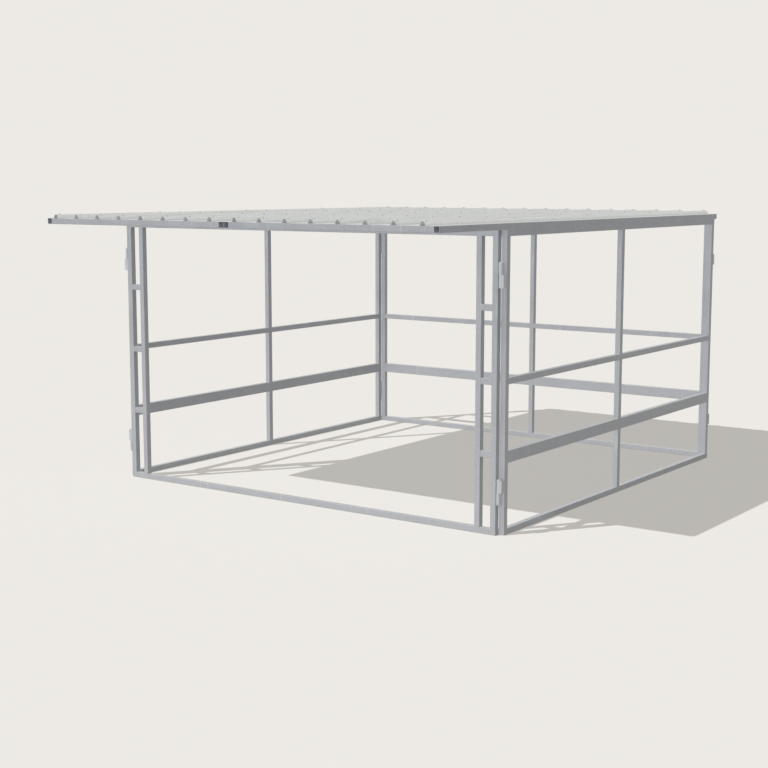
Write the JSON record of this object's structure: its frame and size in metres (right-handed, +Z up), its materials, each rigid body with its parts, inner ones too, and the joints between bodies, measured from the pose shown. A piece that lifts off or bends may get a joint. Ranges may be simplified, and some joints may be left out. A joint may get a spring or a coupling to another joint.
{
  "type": "stable shelter",
  "caption": "Open livestock shelter of pinned square-tube wall frames under a flat ribbed sheet-metal roof that reaches out over the entrance.",
  "frame": {"origin": "on the ground, under the middle of the roof's outline", "axes": "+Z up, the entrance faces -Y, +X is the right-hand side seen from the entrance"},
  "size_m": [3.696, 4.54, 2.2369],
  "materials": {
    "tube_zinc": "hot-dip galvanised, dull",
    "sheet_zinc": "zinc-coated sheet, satin",
    "pin_zinc": "zinc-plated, satin"
  },
  "bodies": {
    "shelter": {"front_base_rail": "tube_zinc", "front_top_rail": "tube_zinc", "front_outer_stile_left": "tube_zinc", "front_outer_stile_right": "tube_zinc", "front_inner_stile_left": "tube_zinc", "front_inner_stile_right": "tube_zinc", "right_base_rail": "tube_zinc", "right_top_rail": "tube_zinc", "right_front_stile": "tube_zinc", "right_middle_stile": "tube_zinc", "right_rear_stile": "tube_zinc", "right_middle_rail_front": "tube_zinc", "right_middle_rail_rear": "tube_zinc", "right_lower_rail_front": "tube_zinc", "right_lower_rail_rear": "tube_zinc", "left_base_rail": "tube_zinc", "left_top_rail": "tube_zinc", "left_front_stile": "tube_zinc", "left_middle_stile": "tube_zinc", "left_rear_stile": "tube_zinc", "left_middle_rail_front": "tube_zinc", "left_middle_rail_rear": "tube_zinc", "left_lower_rail_front": "tube_zinc", "left_lower_rail_rear": "tube_zinc", "rear_base_rail": "tube_zinc", "rear_top_rail": "tube_zinc", "rear_left_stile": "tube_zinc", "rear_middle_stile": "tube_zinc", "rear_right_stile": "tube_zinc", "rear_middle_rail_left": "tube_zinc", "rear_middle_rail_right": "tube_zinc", "rear_lower_rail_left": "tube_zinc", "rear_lower_rail_right": "tube_zinc", "outer_rafter_left": "tube_zinc", "outer_rafter_right": "tube_zinc", "inner_rafter_left": "tube_zinc", "inner_rafter_right": "tube_zinc", "front_beam_left": "tube_zinc", "front_beam_right": "tube_zinc", "rear_beam_left": "tube_zinc", "rear_beam_right": "tube_zinc", "purlin_left_1": "tube_zinc", "purlin_left_2": "tube_zinc", "purlin_left_3": "tube_zinc", "purlin_right_1": "tube_zinc", "purlin_right_2": "tube_zinc", "purlin_right_3": "tube_zinc", "roof_sheet_left": "sheet_zinc", "roof_sheet_right": "sheet_zinc"},
    "front_left_lower_pin": {"pin_front_left_lower": "pin_zinc"},
    "front_left_upper_pin": {"pin_front_left_upper": "pin_zinc"},
    "front_right_lower_pin": {"pin_front_right_lower": "pin_zinc"},
    "front_right_upper_pin": {"pin_front_right_upper": "pin_zinc"},
    "rear_left_lower_pin": {"pin_rear_left_lower": "pin_zinc"},
    "rear_left_upper_pin": {"pin_rear_left_upper": "pin_zinc"},
    "rear_right_lower_pin": {"pin_rear_right_lower": "pin_zinc"},
    "rear_right_upper_pin": {"pin_rear_right_upper": "pin_zinc"}
  },
  "joints": [
    {"name": "front_left_lower_lift", "type": "slide", "parent": "shelter", "child": "front_left_lower_pin", "axis": [0, 0, 1], "range_m": [0, 0.18]},
    {"name": "front_left_upper_lift", "type": "slide", "parent": "shelter", "child": "front_left_upper_pin", "axis": [0, 0, 1], "range_m": [0, 0.18]},
    {"name": "front_right_lower_lift", "type": "slide", "parent": "shelter", "child": "front_right_lower_pin", "axis": [0, 0, 1], "range_m": [0, 0.18]},
    {"name": "front_right_upper_lift", "type": "slide", "parent": "shelter", "child": "front_right_upper_pin", "axis": [0, 0, 1], "range_m": [0, 0.18]},
    {"name": "rear_left_lower_lift", "type": "slide", "parent": "shelter", "child": "rear_left_lower_pin", "axis": [0, 0, 1], "range_m": [0, 0.18]},
    {"name": "rear_left_upper_lift", "type": "slide", "parent": "shelter", "child": "rear_left_upper_pin", "axis": [0, 0, 1], "range_m": [0, 0.18]},
    {"name": "rear_right_lower_lift", "type": "slide", "parent": "shelter", "child": "rear_right_lower_pin", "axis": [0, 0, 1], "range_m": [0, 0.18]},
    {"name": "rear_right_upper_lift", "type": "slide", "parent": "shelter", "child": "rear_right_upper_pin", "axis": [0, 0, 1], "range_m": [0, 0.18]}
  ]
}
